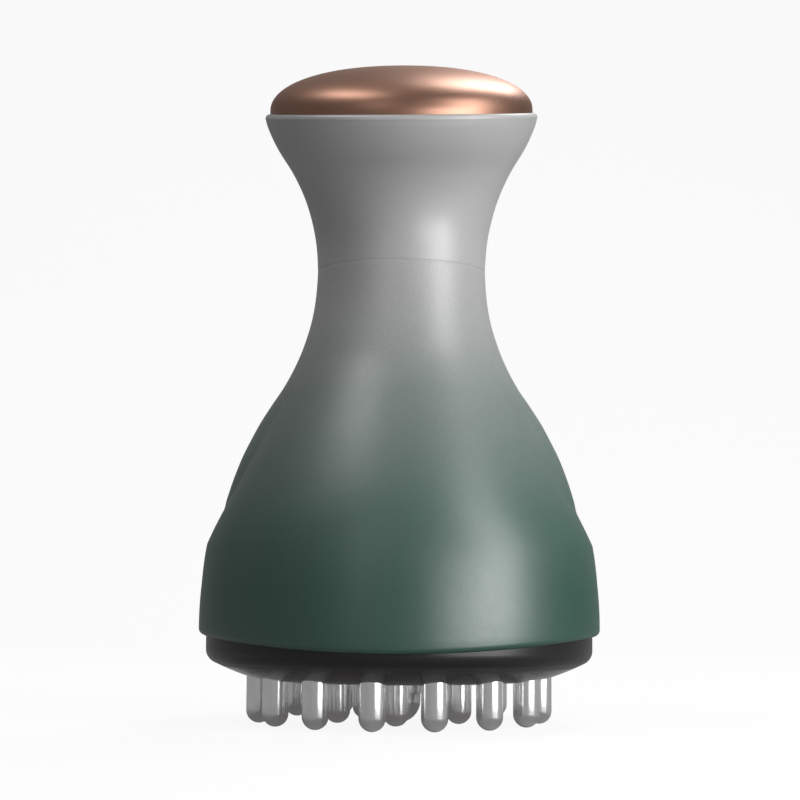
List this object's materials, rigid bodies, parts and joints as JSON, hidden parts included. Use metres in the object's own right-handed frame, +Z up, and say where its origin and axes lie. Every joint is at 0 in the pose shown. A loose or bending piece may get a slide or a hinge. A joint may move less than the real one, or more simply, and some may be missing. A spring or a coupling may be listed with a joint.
{
  "type": "handheld massager",
  "caption": "Bell-shaped electric gua sha massager with a tilted metal head, flared neck, two buttons on the back and round-ended metal posts under a black base.",
  "frame": {"origin": "on the upright axis of the drum, in the plane of the post tips that it stands on", "axes": "+Z up along the neck, -Y towards the pictured front, +X to the right in the picture"},
  "size_m": [0.0882, 0.0882, 0.1489],
  "materials": {
    "shell_paint": "fine metallic paint fading from silver grey to dark green",
    "collar_paint": "satin silver-grey paint",
    "rose_gold": "satin rose-gold plating",
    "black_gloss": "polished black",
    "post_chrome": "mirror chrome",
    "red_window": "tinted clear plastic",
    "clear_guide": "frosted clear plastic",
    "button_metal": "satin rose-gold plating",
    "silicone": "matt silicone",
    "frame_plastic": "moulded matt plastic",
    "circuit_board": "solder mask",
    "chip_black": "moulded epoxy",
    "steel": "zinc-plated steel",
    "heater_metal": "plain aluminium",
    "weight_metal": "sintered heavy metal",
    "cell_wrap": "shrink wrap",
    "foam": "closed-cell foam",
    "lead_cover": "silicone lead cover"
  },
  "bodies": {
    "housing": {"base_cover": "black_gloss", "base_seal": "silicone", "battery_carrier": "frame_plastic", "battery_cell": "cell_wrap", "battery_pad": "foam", "centre_post": "post_chrome", "charging_socket": "steel", "collar_screws": "steel", "contact_board": "circuit_board", "control_panel": "black_gloss", "foot_frame": "frame_plastic", "frame_screws": "steel", "head_carrier": "frame_plastic", "head_carrier_screws": "steel", "head_heater": "heater_metal", "head_seal": "silicone", "heater_lead": "lead_cover", "heater_pad": "foam", "indicator_window": "clear_guide", "inner_post_1": "post_chrome", "inner_post_2": "post_chrome", "inner_post_3": "post_chrome", "inner_post_4": "post_chrome", "inner_post_5": "post_chrome", "key_board": "circuit_board", "key_switches": "chip_black", "light_emitters": "red_window", "light_window": "red_window", "lower_shell": "shell_paint", "main_board": "circuit_board", "main_board_screws": "steel", "main_chip": "chip_black", "motor_can": "steel", "motor_clamp": "steel", "motor_clamp_screws": "steel", "outer_post_01": "post_chrome", "outer_post_02": "post_chrome", "outer_post_03": "post_chrome", "outer_post_04": "post_chrome", "outer_post_05": "post_chrome", "outer_post_06": "post_chrome", "outer_post_07": "post_chrome", "outer_post_08": "post_chrome", "outer_post_09": "post_chrome", "outer_post_10": "post_chrome", "outer_post_11": "post_chrome", "outer_post_12": "post_chrome", "outer_post_13": "post_chrome", "outer_post_14": "post_chrome", "outer_post_15": "post_chrome", "panel_seal": "silicone", "scraping_head": "rose_gold", "small_board_screws": "steel", "socket_board": "circuit_board", "upper_collar": "collar_paint"},
    "power_button": {"power_button": "button_metal"},
    "mode_button": {"mode_button": "button_metal"},
    "rotor": {"motor_shaft": "steel", "eccentric_weight": "weight_metal"}
  },
  "joints": [
    {"name": "power_button_press", "type": "slide", "parent": "housing", "child": "power_button", "axis": [0, -0.8945, -0.4471], "range_m": [0, 0.0005], "stiffness_N_per_m": 1500, "springref_m": -0.0005},
    {"name": "mode_button_press", "type": "slide", "parent": "housing", "child": "mode_button", "axis": [0, -0.8945, -0.4471], "range_m": [0, 0.0005], "stiffness_N_per_m": 1500, "springref_m": -0.0005},
    {"name": "rotor_spin", "type": "hinge", "parent": "housing", "child": "rotor", "pos_m": [0, 0, 0.029], "axis": [1, 0, 0], "continuous": true}
  ]
}
